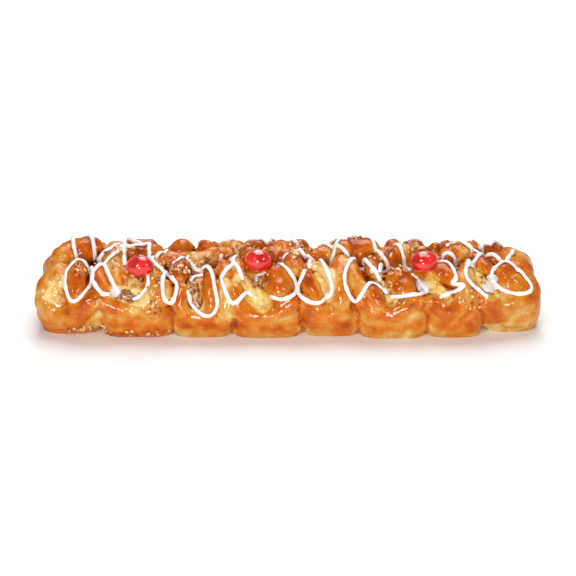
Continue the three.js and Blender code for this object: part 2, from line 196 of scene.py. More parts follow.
# The folds that cross on the ridge: their places, radius, rise and tone
RIDGE = [
    ([(-183, 86), (-174, 96), (-159, 96)], 13, 10, 0.62),
    ([(-146, 84), (-134, 98)], 10, 2.5, 0.5),
    ([(-124, 98), (-110, 102)], 12, 1.5, 0.64), ([(-106, 88), (-94, 84), (-86, 76)], 10, -2, 0.66),
    ([(-96, 98), (-84, 96), (-76, 88)], 10.5, -4, 0.64), ([(-77, 92), (-66, 96), (-58, 104)], 11, -2.5, 0.6),
    ([(-54, 94), (-44, 98)], 11.5, 1, 0.64), ([(-32, 96), (-26, 90)], 10, 1, 0.62),
    ([(-13, 96), (-2, 92)], 12, 0.5, 0.64), ([(8, 100), (18, 92)], 9.5, 0, 0.62),
    ([(22, 88), (30, 94), (37, 102)], 10, 1.5, 0.66), ([(46, 92), (54, 98), (66, 96)], 13, 7, 0.64),
    ([(76, 88), (84, 94), (91, 98)], 11, 1, 0.66), ([(96, 100), (108, 90)], 11, 1.5, 0.64),
    ([(131, 90), (141, 96), (149, 96)], 12, 3.5, 0.64), ([(168, 86), (180, 92)], 11, 2.5, 0.64),
    ([(184, 80), (192, 100)], 12, 1, 0.74),
]

# The filling: a roll along the loaf with a lump that rises into each slit
ROLL_HALF = HALF_LENGTH - 30.0
ROLL_UP = 13.0
ROLL_ACROSS = 26.0
ROLL_HEIGHT = 26.0
LUMP_DEPTH = 17.0
LUMP_REACH = 13.5
LUMP_POWER = 4
FRUIT_ROUGH = 0.9
FRUIT_SUNK = 0.5
FRUIT_MIX = 0.3

# The cherries: their half sizes, how far their middles stand out, how uneven they are and their places
CHERRY_SIZE = (11.5, 9.5, 9.5)
CHERRY_RISE = 3.0
CHERRY_UNEVEN = 0.05
CHERRIES = {"cherry_left": (-117.5, 58), "cherry_middle": (-24, 67), "cherry_right": (108.5, 65)}

# The icing is drizzled in parts of some steps each, wavers in width and lies a little way in the crust
ICING_STEP = 1.6
ICING_PART = 6
ICING_WAVER = 0.22
ICING_CREASE = 0.8
ICING_SUNK = 0.7
ICING_FAR = 6
ICING_REACH = 3
POOL_THICKNESS = 0.6
POOL_REACH = 4
BACK_STROKES_BELOW = 76

# Each stroke of icing is a smooth line through places on the section
STROKES = [
    [(-176, 108), (-172, 86), (-163, 71), (-155, 53), (-160, 29), (-170, 16), (-176, 34), (-176, 60),
     (-166, 74),
     (-153, 78), (-138, 95)],
    [(-133, 96), (-142, 77), (-154, 56), (-155, 43), (-147, 26), (-142, 25)],
    [(-99, 98), (-109, 72), (-96, 52), (-88, 36), (-92, 14), (-98, 22), (-99, 46), (-94, 65), (-81, 87)],
    [(-82, 83), (-63, 59), (-58, 34), (-56, 12), (-61, 2), (-71, 4), (-77, 13), (-79, 28)],
    [(-57, 85), (-44, 70), (-52, 50), (-52, 40), (-44, 15), (-33, 27), (-29, 24)],
    [(-25, 46), (-25, 56), (-21, 61), (1, 86), (9, 92), (24, 77), (40, 92), (48, 108)],
    [(-11, 73), (2, 54), (7, 35), (6, 26), (-4, 19), (-13, 22)],
    [(13, 54), (8, 34), (10, 22), (23, 14), (34, 25), (33, 45), (24, 76), (18, 71), (17, 61)],
    [(56, 79), (49, 67), (45, 49), (46, 33), (53, 15), (62, 35), (68, 40), (78, 28)],
    [(85, 77), (96, 70), (106, 41), (110, 28), (96, 25), (82, 22)],
    [(118, 71), (128, 67), (133, 47), (130, 39), (139, 36), (134, 30), (121, 21)],
    [(149, 71), (161, 85), (182, 63), (193, 34), (184, 23), (168, 32), (163, 56), (175, 75), (182, 92)],
]

# The shorter strokes, which only the dressed loaf has
SHORT_STROKES = [
    [(-173, 108), (-161, 96), (-148, 69), (-141, 46), (-134, 26)],
    [(-133, 96), (-132, 83), (-130, 64)],
    [(-138, 95), (-131, 94), (-120, 96), (-114, 101), (-112, 79)],
    [(-116, 64), (-112, 53), (-111, 36), (-118, 21), (-122, 18)],
    [(-54, 87), (-57, 75), (-66, 62), (-75, 54), (-77, 44)],
    [(-34, 84), (-40, 80), (-44, 70), (-40, 60), (-36, 46)],
    [(25, 100), (40, 89), (56, 80), (66, 87)],
    [(55, 115), (67, 95), (80, 79), (96, 81)],
    [(59, 79), (64, 66), (67, 59), (73, 46)],
    [(87, 101), (95, 86), (98, 77), (84, 77), (75, 67), (73, 56)],
    [(122, 71), (124, 83), (130, 84), (140, 78), (145, 70)],
    [(129, 90), (133, 99), (139, 100), (153, 85)],
    [(144, 67), (141, 53), (144, 40), (157, 21)],
]

# Where the icing ran together in thin patches, as x, angle and radius
POOLS = [
    (-136, 28, 5.0), (33, 24, 4.0), (67, 57, 4.0), (106, 36, 6.5), (109, 26, 5.0), (147, 66, 5.0),
    (160, 34, 7.0),
    (163, 46, 5.5),
]

# Where chopped nuts lie, as x, angle, half length, half angle, how many large ones and how many small ones.
# Five draws go to each large one, as in the part's source, so that they lie where the solid ones do
NUT_PATCHES = [
    (-162, 60, 6, 10, 1, 18), (-138, 92, 8, 9, 2, 22), (-120, 92, 7, 12, 2, 24), (-105, 35, 5, 26, 2, 42),
    (-99, 65, 6, 10, 2, 24), (-79, 57, 9, 6, 1, 22), (-69, 79, 10, 9, 2, 36), (-37, 90, 15, 8, 3, 44),
    (-24, 46, 9, 12, 2, 26), (6, 88, 5, 12, 2, 20), (40, 103, 5, 5, 1, 12), (71, 81, 5, 6, 1, 18),
    (90, 62, 8, 9, 2, 30), (103, 95, 6, 8, 2, 24), (141, 79, 7, 5, 1, 18),
    (-137, 66, 3, 5, 0, 6), (-121, 51, 6, 3, 0, 8), (17, 91, 5, 5, 0, 8), (54, 102, 6, 4, 0, 12),
    (83, 86, 4, 4, 0, 8),
    (89, 42, 8, 8, 0, 6), (92, 17, 5, 4, 0, 7), (142, 14, 8, 8, 0, 14), (150, 36, 4, 8, 0, 8),
    (159, 44, 5, 7, 0, 9),
    (-7, 65, 4, 4, 0, 5), (138, 100, 6, 4, 0, 10), (-180, 30, 3, 7, 0, 8), (-148, 12, 3, 8, 0, 10),
    (-160, -40, 15, 6, 0, 26), (-112, -42, 14, 6, 0, 20), (-128, 22, 8, 4, 0, 12), (-76, 22, 3, 10, 0, 6),
]
NUT_SMALLEST = 1.5
NUT_SPREAD = 1.0
NUT_DRAWS = 5
NUT_STRAY = 1.25
NUT_SIZE_POWER = 1.5
NUT_RAISED = 0.3
NUT_SUNK = 0.5
NUT_REACH = 1.6
NUT_GAP = 0.4
NUT_LEAST = (0.9, 0.65, 0.5)
NUT_MOST = (1.5, 1.05, 0.85)
NUT_TILT = 0.5
NUT_TURN = 6.283
NUT_GRAIN = 1.7
NUT_PUSH = 4.0
DRAW_FACTOR = 16807
DRAW_RANGE = 2147483647

# The studio, in metres: each light's name, place, width, share of the key light's power and target
LOAF_MIDDLE = (0, 0, 0.03)
LIGHTS = [
    ("key", (-0.55, -1.15, 0.95), 0.36, 1.0, LOAF_MIDDLE),
    ("fill", (1.0, -0.9, 0.7), 0.26, 0.45, LOAF_MIDDLE),
    ("low_front", (-0.1, -1.3, 0.2), 0.36, 1.0, LOAF_MIDDLE),
    ("top", (0.1, 0.6, 1.5), 1.3, 2.6, LOAF_MIDDLE),
    ("backdrop", (0.0, 1.7, 1.3), 1.2, 2.4, (0, 1.1, 0)),
]
WORLD_STRENGTH = 0.24
FLOOR_HALF = 4.0
CAMERA_TARGET = (0, 0, 0.0243)
SENSOR_WIDTH = 36


def srgb(red, green, blue):
    """The linear colour of an sRGB colour given from 0 to 255."""
    steps = [value / 255 for value in (red, green, blue)]
    return tuple(step / 12.92 if step <= 0.04045 else ((step + 0.055) / 1.055) ** 2.4 for step in steps)


def colour_property(label, description, colour):
    return FloatVectorProperty(
        name=label, description=description, default=colour, subtype="COLOR", min=0, max=1)


def length_property(label, description, length, least=0.0):
    return FloatProperty(name=label, description=description + ", in millimetres", default=length, min=least)


class LoafDough(bpy.types.PropertyGroup):
    cell: length_property("Cell", "Spacing of the crust's mesh", 1.46, 0.8)
    crease: length_property("Crease", "Softness of the creases", 0.9, 0.1)
    unevenness: length_property("Unevenness", "How far the crust strays from smooth", 0.95)
    pale: colour_property("Pale dough", "Dough that the oven hardly browned", srgb(238, 204, 134))
    tan: colour_property("Tan crust", "Lightly baked crust", srgb(208, 152, 68))
    gold: colour_property("Gold crust", "Crust that is baked gold", srgb(208, 114, 6))
    orange: colour_property("Deep crust", "Well baked crust", srgb(188, 82, 2))
    brown: colour_property("Brown crust", "The most baked crust", srgb(132, 52, 6))


class LoafFilling(bpy.types.PropertyGroup):
    apple: colour_property("Apple", "Cooked apple", srgb(228, 166, 40))
    light_apple: colour_property("Light apple", "Apple that stayed pale", srgb(248, 220, 144))
    spice: colour_property("Spice", "Nuts and cinnamon between the apple", srgb(112, 52, 20))
    light_spice: colour_property("Light spice", "Lighter bits in the spice", srgb(196, 128, 66))


class LoafIcing(bpy.types.PropertyGroup):
    cell: length_property("Cell", "Spacing of the icing's mesh", 0.8, 0.5)
    width: length_property("Width", "Width of a stroke", 3.5, 1)
    thickness: length_property("Thickness", "Height of a stroke", 1.2, 0.3)
    white: colour_property("White", "Thick icing", srgb(246, 240, 238))
    thin: colour_property("Thin", "Icing so thin that the crust shows through", srgb(230, 214, 204))


class LoafNuts(bpy.types.PropertyGroup):
    seed: IntProperty(name="Seed", description="Which random pattern the nuts lie in", default=7, min=1)
    smallest: length_property("Smallest", "Radius of the smallest bits", 0.65, 0.1)
    largest: length_property("Largest", "Radius of the largest small bits", 1.7, 0.2)
    roughness: FloatProperty(name="Roughness", description="How irregular the bits are", default=0.55, min=0)
    kernel: colour_property("Kernel", "Cut faces of the nuts", srgb(244, 208, 152))
    toasted: colour_property("Toasted", "Toasted faces of the nuts", srgb(206, 140, 76))
    skin: colour_property("Skin", "Brown skin of the nuts", srgb(138, 66, 24))


class LoafCherries(bpy.types.PropertyGroup):
    wrinkle: length_property("Wrinkle", "Depth of the wrinkles", 0.4)
    red: colour_property("Red", "Glazed cherry flesh", srgb(242, 26, 18))


class LoafStudio(bpy.types.PropertyGroup):
    floor: colour_property("Floor", "The pale floor", srgb(250, 250, 251))
    elevation: FloatProperty(
        name="Elevation", description="How steeply the camera looks down", default=math.radians(24),
        subtype="ANGLE")
    distance: FloatProperty(
        name="Distance", description="From the camera to the loaf", default=1.35, unit="LENGTH")
    lens: FloatProperty(name="Lens", description="Focal length in millimetres", default=103, min=10)
    key: FloatProperty(name="Key light", description="Power of the key light, in watts", default=6.6, min=0)


# Shape of the section and of what follows it


def bulged(value):
    return np.sign(value) * np.abs(value) ** SQUARENESS


def stands_out(x):
    """How far the front of the loaf stands out at each x."""
    middles = [(lobe.start + lobe.end) / 2 for lobe in LOBES]
    return SECTION_HALF - np.interp(x, middles, [lobe.back for lobe in LOBES])


def taper(x, reach, power):
    return np.sqrt(1 - np.minimum(np.abs(x) / reach, 1) ** power)


def on_section(x, degrees, depth=0.0):
    """Points of the section at each x and angle, as deep under it as asked."""
    x, degrees, depth = np.broadcast_arrays(np.asarray(x, float), np.asarray(degrees, float), depth)
    angle = np.radians(degrees)
    half = np.where(degrees > 90, stands_out(-x), stands_out(x)) * taper(x, END_REACH, END_POWER)
    below = (degrees < 0) | (degrees > 180)
    up = np.where(below, SECTION_MIDDLE, (SECTION_HEIGHT - SECTION_MIDDLE) * taper(x, TOP_REACH, TOP_POWER))
    across = bulged(np.cos(angle)) * (half - depth)
    return np.stack([x, -across, SECTION_MIDDLE + bulged(np.sin(angle)) * (up - depth)], axis=-1)


def turned(fold):
    places, *rest = fold
    return ([(-x, 180 - a) for x, a in places], *rest)


def on_both_sides(folds):
    return list(folds) + [turned(fold) for fold in folds]


def smooth_step(low, high, values):
    share = np.clip((values - low) / (high - low), 0, 1)
    return share * share * (3 - 2 * share)


def spine(places, depth, steps=FOLD_STEPS):
    """The middle line of a fold, slit or lump under the section, and the way out along it."""
    knots = np.array(places, float)
    share = np.linspace(0, len(knots) - 1, steps * (len(knots) - 1) + 1)
    x, degrees = (np.interp(share, range(len(knots)), knots[:, i]) for i in (0, 1))
    line = on_section(x, degrees, depth)
    out = on_section(x, degrees, depth - 1) - line
    return line, unit(out)


def unit(ways):
    return ways / np.maximum(np.linalg.norm(ways, axis=-1, keepdims=True), TINY)


def fold_radius(radius, share):
    """The radius of a fold along it: full in its middle and less at its ends."""
    return radius * (1 - FOLD_TAPER * (2 * share - 1) ** 2)


class Block:
    """A box of evenly spaced points, in millimetres."""

    def __init__(self, low, high, cell):
        self.low = np.array(low, float)
        self.cell = cell
        self.shape = tuple(int(math.ceil((h - l) / cell)) + 1 for l, h in zip(low, high))

    def full(self, value):
        return np.full(self.shape, value, np.float32)

    def window(self, points, reach):
        """The part of the block within reach of some points: its slices and the places of its points."""
        first = np.floor((points.min(axis=0) - reach - self.low) / self.cell).astype(int)
        last = np.ceil((points.max(axis=0) + reach - self.low) / self.cell).astype(int) + 1
        first = np.clip(first, 0, self.shape)
        last = np.clip(last, 0, self.shape)
        slices = tuple(slice(a, b) for a, b in zip(first, last))
        axes = [self.low[i] + self.cell * np.arange(first[i], last[i]) for i in range(3)]
        return slices, np.stack(np.meshgrid(*axes, indexing="ij"), axis=-1)

    def all_points(self):
        return self.window(np.array([self.low, self.low + self.cell * np.array(self.shape)]), 0)[1]

    def sample(self, values, points):
        """The values at points between those of the block, read in a straight line along each axis."""
        place = (points - self.low) / self.cell
        corner = np.clip(np.floor(place).astype(int), 0, np.array(self.shape) - 2)
        part = np.clip(place - corner, 0, 1)
        total = np.zeros(len(points))
        for i in (0, 1):
            for j in (0, 1):
                for k in (0, 1):
                    weight = np.ones(len(points))
                    for axis, bit in enumerate((i, j, k)):
                        weight *= part[:, axis] if bit else 1 - part[:, axis]
                    total += weight * values[corner[:, 0] + i, corner[:, 1] + j, corner[:, 2] + k]
        return total

    def slope(self, values, points):
        step = self.cell * 0.5
        ways = np.eye(3) * step
        return np.stack([(self.sample(values, points + w) - self.sample(values, points - w)) / (2 * step)
                         for w in ways], axis=1)


def line_offsets(points, line):
    """For each point, the offset from the nearest place on a line, and how far along that place is."""
    best = np.full(points.shape[:-1], np.inf)
    offset = np.zeros(points.shape)
    along = np.zeros(points.shape[:-1])
    for i in range(len(line) - 1):
        way = line[i + 1] - line[i]
        share = np.clip(((points - line[i]) @ way) / (way @ way), 0, 1)
        step = points - line[i] - share[..., None] * way
        distance = np.einsum("...i,...i", step, step)
        nearer = distance < best
        best = np.where(nearer, distance, best)
        offset = np.where(nearer[..., None], step, offset)
        along = np.where(nearer, i + share, along)
    return offset, along


def lens_distance(points, places, depth, half, reach, power=2):
    """How far points are outside a lens: a line under the section, half wide, that reaches in and out.

    A higher power makes its top and bottom flatter."""
    line, outs = spine(places, depth, LENS_STEPS)
    offset, along = line_offsets(points, line)
    index = np.minimum(along.astype(int), len(outs) - 2)
    part = (along - index)[..., None]
    out = outs[index] * (1 - part) + outs[index + 1] * part
    radial = np.einsum("...i,...i", offset, out)
    lateral = np.linalg.norm(offset - radial[..., None] * out, axis=-1)
    return (np.sqrt((lateral / half) ** 2 + np.abs(radial / reach) ** power) - 1) * half


def lobe_distance(points, middle, radii, power):
    """How far points are outside a lobe: round from its end, and with fuller shoulders from its side."""
    offset = points - np.array(middle)
    along = np.abs(offset[..., 0]) / radii[0]
    around = np.linalg.norm(offset[..., 1:] / radii[1:], axis=-1)
    steep = np.linalg.norm(offset[..., 1:] / np.square(radii[1:]), axis=-1) / np.maximum(around, TINY)
    near = np.maximum((along ** power + around ** power) ** (1 / power), TINY)
    slope = np.hypot((along / near) ** (power - 1) / radii[0], (around / near) ** (power - 1) * steep)
    return (near - 1) / np.maximum(slope, 1e-3)


def box_distance(points, half, height, round_edge):
    out = np.abs(points - np.array([0, 0, height])) - np.array(half)
    inside = np.minimum(out.max(axis=-1), 0)
    return np.linalg.norm(np.maximum(out, 0), axis=-1) + inside - round_edge


def soft_union(nearer, farther, crease):
    """The distance to two shapes that meet in a crease of some width, from the distances to each."""
    overlap = np.maximum(0, crease - (farther - nearer))
    return nearer - overlap ** 2 / (4 * crease)


class Dough:
    """The dough and its filling as distances on a block, with how baked it is and how near a crease."""

    NEAR = 14.0
    FAR = 60.0
    FAR_FROM_SLIT = 30.0
    START_OUT = 70.0
    STEPS_IN = 60
    STEP_SHARE = 0.8

    def __init__(self, cell, crease):
        self.block = Block(*DOUGH_BLOCK, cell)
        self.first, self.second, self.fold = (self.block.full(self.FAR) for _ in range(3))
        self.tone, self.other_tone, self.yellow = (self.block.full(CORE_TONE) for _ in range(3))
        self.slit, self.filling = (self.block.full(self.FAR_FROM_SLIT) for _ in range(2))
        self.add_core()
        self.add_lobes()
        self.cut_slits()
        base = self.first.copy()
        self.add_folds()
        self.whole = soft_union(self.first, self.second, crease)
        height = self.block.low[2] + self.block.cell * np.arange(self.block.shape[2])
        self.run_in = np.broadcast_to(1 - smooth_step(RUN_IN_LOW, RUN_IN_HIGH, height), self.block.shape)
        nearer, farther = np.minimum(base, self.fold), np.maximum(base, self.fold)
        joined = soft_union(nearer, farther, np.maximum(RUN_IN * self.run_in, LEAST_CREASE))
        self.whole = np.minimum(self.whole, joined)
        apart = self.second - self.first
        self.apart = apart + RUN_IN / 2 * self.run_in * (farther - nearer < apart + LEAST_CREASE)
        self.add_filling()
        self.top = np.minimum(self.whole, self.filling)

    def add(self, slices, distance, tone):
        first, second = self.first[slices], self.second[slices]
        one, other = self.tone[slices], self.other_tone[slices]
        nearest = distance < first
        next_one = ~nearest & (distance < second)
        second[...] = np.where(nearest, first, np.where(next_one, distance, second))
        other[...] = np.where(nearest, one, np.where(next_one, tone, other))
        first[...] = np.where(nearest, distance, first)
        one[...] = np.where(nearest, tone, one)

    def add_core(self):
        whole = tuple(slice(0, n) for n in self.block.shape)
        self.add(whole, box_distance(self.block.all_points(), CORE_HALF, CORE_HEIGHT, CORE_ROUND), CORE_TONE)

    def add_lobes(self):
        for lobe in LOBES:
            at_end = max(abs(lobe.start), abs(lobe.end)) > AXIS_HALF
            power = END_LOBE_POWER if at_end else LOBE_POWER
            set_back = END_LOBE_SET_BACK if at_end else LOBE_SET_BACK
            inwards = LOBE_ACROSS + set_back + lobe.back - SECTION_HALF
            for side in (1, -1):
                middle = np.array([side * (lobe.start + lobe.end) / 2, side * inwards, LOBE_HEIGHT])
                radii = np.array([(lobe.end - lobe.start) / 2 + LOBE_OVERLAP, LOBE_ACROSS, lobe.up])
                slices, points = self.block.window(np.array([middle - radii, middle + radii]), self.NEAR)
                self.add(slices, lobe_distance(points, middle, radii, power), LOBE_TONE)

    def cut_slits(self):
        """The slits go through the body and the lobes, and the folds lie beside and over them."""
        for places, half, _ in slit_rows():
            line, _ = spine(places, SLIT_DEPTH)
            slices, points = self.block.window(line, SLIT_REACH + self.NEAR)
            lens = lens_distance(points, places, SLIT_DEPTH, half * SLIT_SPREAD, SLIT_REACH)
            self.slit[slices] = np.minimum(self.slit[slices], lens)
        self.first = np.maximum(self.first, -self.slit)

    def add_folds(self):
        folds = on_both_sides([fold for lobe in LOBES for fold in lobe.folds] + [END_FOLD]) + RIDGE
        for places, radius, rise, tone in folds:
            count = FOLD_STEPS * (len(places) - 1)
            line, _ = spine(places, fold_radius(radius, np.arange(count + 1) / count) - rise)
            slices, points = self.block.window(line, radius + self.NEAR)
            offset, along = line_offsets(points, line)
            distance = np.linalg.norm(offset, axis=-1) - fold_radius(radius, along / count)
            self.add(slices, distance, max(tone, BACK_TONE) if places[0][1] > BEHIND_RIDGE else tone)
            self.fold[slices] = np.minimum(self.fold[slices], distance)

    def add_filling(self):
        """The filling is a roll along the loaf with a lump in each slit."""
        line = np.array([[-ROLL_HALF, 0, ROLL_HEIGHT], [ROLL_HALF, 0, ROLL_HEIGHT]])
        flat = self.block.all_points() * np.array([1, ROLL_UP / ROLL_ACROSS, 1])
        offset, _ = line_offsets(flat, line)
        self.filling[...] = np.linalg.norm(offset, axis=-1) - ROLL_UP
        nearest = self.block.full(self.FAR_FROM_SLIT)
        for places, half, share in slit_rows():
            middle, _ = spine(places, LUMP_DEPTH)
            slices, near = self.block.window(middle, LUMP_REACH + 4)
            lump = lens_distance(near, places, LUMP_DEPTH, half * SLIT_SPREAD + 1, LUMP_REACH, LUMP_POWER)
            self.filling[slices] = np.minimum(self.filling[slices], lump)
            self.yellow[slices] = np.where(lump < nearest[slices], share, self.yellow[slices])
            nearest[slices] = np.minimum(nearest[slices], lump)

    def crust(self, x, degrees):
        """Places on the crust or the filling over places on the section."""
        x, degrees = np.broadcast_arrays(np.asarray(x, float), np.asarray(degrees, float))
        origin = np.stack([np.clip(x, -AXIS_HALF, AXIS_HALF), 0 * x, 0 * x + AXIS_HEIGHT], axis=-1)
        out = unit(on_section(x, degrees) - origin)
        travel = np.full(len(x), self.START_OUT)
        for _ in range(self.STEPS_IN):
            travel -= self.STEP_SHARE * self.block.sample(self.top, origin + travel[:, None] * out)
        return origin + travel[:, None] * out


def surface_net(block, values):
    """The closed mesh of quads where values on a block cross zero, with the values negative inside."""
    inside = values < 0
    shape = np.array(values.shape) - 1
    corners = [np.array((i, j, k)) for i in (0, 1) for j in (0, 1) for k in (0, 1)]

    def shifted(array, corner):
        return array[tuple(slice(c, c + n) for c, n in zip(corner, shape))]

    count = sum(shifted(inside, corner).astype(np.int8) for corner in corners)
    mixed = (count > 0) & (count < 8)
    cells = np.argwhere(mixed)
    index = np.full(shape, -1)
    index[mixed] = np.arange(len(cells))
    total = np.zeros((len(cells), 3))
    hits = np.zeros(len(cells))
    for a in corners:
        for axis in range(3):
            if a[axis]:
                continue
            b = a + np.eye(3, dtype=int)[axis]
            at_a = values[tuple((cells + a).T)]
            at_b = values[tuple((cells + b).T)]
            crossed = (at_a < 0) != (at_b < 0)
            share = np.where(crossed, at_a / np.where(crossed, at_a - at_b, 1), 0)
            total += np.where(crossed[:, None], a + share[:, None] * (b - a), 0)
            hits += crossed
    points = block.low + block.cell * (cells + total / hits[:, None])
    faces = []
    for axis in range(3):
        u, v = np.eye(3, dtype=int)[(axis + 1) % 3], np.eye(3, dtype=int)[(axis + 2) % 3]
        step = np.eye(3, dtype=int)[axis]
        low = inside[tuple(slice(0, n - s) for n, s in zip(inside.shape, step))]
        high = inside[tuple(slice(s, n) for n, s in zip(inside.shape, step))]
        edges = np.argwhere(low != high)
        edges = edges[((edges @ u) > 0) & ((edges @ v) > 0)]
        edges = edges[((edges @ u) < shape @ u) & ((edges @ v) < shape @ v)]
        around = [index[tuple((edges - shift).T)] for shift in (0 * u, u, u + v, v)]
        quads = np.stack(around, axis=1)
        outward = low[tuple(edges.T)]
        quads[~outward] = quads[~outward][:, ::-1]
        faces.append(quads)
    return points, np.concatenate(faces)


def settle(block, values, points):
    """Moves the points of a net onto the surface itself."""
    for _ in range(SETTLE_ROUNDS):
        slope = block.slope(values, points)
        size = np.maximum(np.einsum("ij,ij->i", slope, slope), LEAST_SLOPE)
        step = slope * (block.sample(values, points) / size)[:, None]
        length = np.linalg.norm(step, axis=1, keepdims=True)
        points = points - step * np.minimum(1, SETTLE_LONGEST * block.cell / np.maximum(length, TINY))
    return points


def new_piece(name, points, faces, attributes=None):
    """A smooth mesh object from points in millimetres."""
    mesh = bpy.data.meshes.new(name)
    mesh.from_pydata((points * MM).tolist(), [], faces.tolist())
    for key, values in (attributes or {}).items():
        layer = mesh.attributes.new(key, "FLOAT", "POINT")
        layer.data.foreach_set("value", np.asarray(values, np.float32))
    mesh.shade_smooth()
    mesh.update()
    piece = bpy.data.objects.new(name, mesh)
    bpy.context.collection.objects.link(piece)
    return piece


def finish_piece(piece, material, slot, *nodes):
    piece.data.materials.clear()
    piece.data.materials.append(material)
    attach(piece, "root")
    if nodes:
        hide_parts(*nodes)


def noise_at(points, size, seed=0, octaves=2):
    """Smooth noise from about -1 to 1 at each point, with features of a size in millimetres."""
    shift = Vector((seed * 17.3, seed * 5.1, seed * 9.7))
    return np.array([noise.fractal(Vector(p) / size + shift, 1.0, 2.0, octaves) for p in points.tolist()])


# Materials


class Shade:
    """A material with its nodes and links within easy reach."""

    def __init__(self, name):
        self.material = bpy.data.materials.new(name)
        self.material.use_nodes = True
        self.tree = self.material.node_tree
        self.tree.nodes.clear()
        self.shader = self.tree.nodes.new("ShaderNodeBsdfPrincipled")
        output = self.tree.nodes.new("ShaderNodeOutputMaterial")
        self.link(self.shader.outputs[0], output.inputs[0])
        self.coordinates = self.tree.nodes.new("ShaderNodeTexCoord").outputs["Object"]

    def link(self, output, socket):
        self.tree.links.new(output, socket)

    def feed(self, value, socket):
        if isinstance(value, bpy.types.NodeSocket):
            self.link(value, socket)
        else:
            socket.default_value = value

    def dress(self, **values):
        """Sets the shader's sockets, each by a link or a plain value."""
        for key, value in values.items():
            self.feed(value, self.shader.inputs[key.replace("_", " ")])

    def attribute(self, name):
        node = self.tree.nodes.new("ShaderNodeAttribute")
        node.attribute_name = name
        return node.outputs["Fac"]

    def noise(self, size, detail=3.0, roughness=0.5, stretch=(1, 1, 1)):
        """Noise with features of a size in millimetres, drawn out along some axes."""
        place = self.tree.nodes.new("ShaderNodeMapping")
        place.inputs["Scale"].default_value = tuple(1 / share for share in stretch)
        self.link(self.coordinates, place.inputs["Vector"])
        node = self.tree.nodes.new("ShaderNodeTexNoise")
        self.link(place.outputs["Vector"], node.inputs["Vector"])
        node.inputs["Scale"].default_value = 1 / (size * MM)
        node.inputs["Detail"].default_value = detail
        node.inputs["Roughness"].default_value = roughness
        return node.outputs["Fac"]

    def add(self, total, *others):
        for other in others:
            node = self.tree.nodes.new("ShaderNodeMath")
            node.operation = "ADD"
            self.link(total, node.inputs[0])
            self.link(other, node.inputs[1])
            total = node.outputs[0]
        return total

    def stretch(self, value, low, high, to_low=0.0, to_high=1.0):
        node = self.tree.nodes.new("ShaderNodeMapRange")
        self.link(value, node.inputs["Value"])
        for key, number in (("From Min", low), ("From Max", high), ("To Min", to_low), ("To Max", to_high)):
            node.inputs[key].default_value = number
        return node.outputs["Result"]

    def ramp(self, value, stops):
        node = self.tree.nodes.new("ShaderNodeValToRGB")
        elements = node.color_ramp.elements
        while len(elements) < len(stops):
            elements.new(0.5)
        for element, (place, colour) in zip(elements, stops):
            element.position = place
            element.color = (*colour, 1)
        self.link(value, node.inputs[0])
        return node.outputs["Color"]

    def mix(self, share, one, other):
        node = self.tree.nodes.new("ShaderNodeMix")
        node.data_type = "RGBA"
        self.link(share, node.inputs[0])
        for colour, socket in ((one, node.inputs[6]), (other, node.inputs[7])):
            self.feed(colour if isinstance(colour, bpy.types.NodeSocket) else (*colour, 1), socket)
        return node.outputs[2]

    def bump(self, height, depth, under=None):
        """A bump of some millimetres, over another one if there is one."""
        node = self.tree.nodes.new("ShaderNodeBump")
        node.inputs["Strength"].default_value = 1.0
        node.inputs["Distance"].default_value = depth * MM
        self.link(height, node.inputs["Height"])
        if under:
            self.link(under, node.inputs["Normal"])
        return node.outputs["Normal"]


def crust_material(dough):
    shade = Shade("glazed_crust")
    patches = shade.stretch(shade.noise(9, 4, 0.55), 0.3, 0.7, -0.16, 0.16)
    freckles = shade.stretch(shade.noise(1.4, 3, 0.6), 0.35, 0.75, -0.05, 0.08)
    fibres = shade.noise(1.5, 3, 0.6, (1, 2.6, 2.6))
    streaks = shade.stretch(fibres, 0.3, 0.7, -0.06, 0.06)
    # The ramp turns the crust's bake, which also holds painted shade along the creases, into colour
    colour = shade.ramp(shade.add(shade.attribute("bake_and_shade"), patches, freckles, streaks), [
        (0.1, dough.pale), (0.33, dough.tan), (0.55, dough.gold), (0.76, dough.orange), (1.0, dough.brown)])
    coarse = shade.bump(shade.noise(6, 3, 0.55), 1.5)
    drawn = shade.bump(fibres, 0.22, coarse)
    shade.dress(
        Base_Color=colour, Roughness=shade.stretch(shade.noise(6, 2, 0.5), 0.3, 0.7, 0.24, 0.42),
        Normal=shade.bump(shade.noise(0.9, 2, 0.6), 0.05, drawn),
        Coat_Weight=0.26, Coat_IOR=2.0, Coat_Roughness=0.06, Specular_IOR_Level=0.04)
    return shade.material


def filling_material(filling):
    shade = Shade("apple_filling")
    grain = shade.noise(2.2, 4, 0.6)
    apple = shade.add(shade.attribute("apple"), shade.stretch(grain, 0.3, 0.7, -0.22, 0.22))
    fruit = shade.mix(shade.stretch(shade.noise(3.5), 0.35, 0.7), filling.apple, filling.light_apple)
    spice = shade.mix(shade.stretch(shade.noise(1.4), 0.4, 0.65), filling.spice, filling.light_spice)
    shade.dress(
        Base_Color=shade.mix(shade.stretch(apple, 0.38, 0.6), spice, fruit),
        Roughness=shade.stretch(grain, 0.3, 0.7, 0.25, 0.5), Normal=shade.bump(grain, 0.4),
        Subsurface_Weight=0.3, Subsurface_Scale=0.005, Coat_Weight=0.8, Coat_Roughness=0.08)
    return shade.material


def icing_material(icing):
    shade = Shade("sugar_icing")
    thin = shade.add(shade.attribute("thin"), shade.stretch(shade.noise(3), 0.35, 0.7, -0.15, 0.15))
    shade.dress(
        Base_Color=shade.mix(thin, icing.white, icing.thin),
        Roughness=shade.stretch(shade.noise(2, 2), 0.3, 0.7, 0.22, 0.38),
        Normal=shade.bump(shade.noise(1.5, 2), 0.12),
        Subsurface_Weight=0.2, Subsurface_Scale=0.002, Coat_Weight=0.5, Coat_Roughness=0.12)
    return shade.material


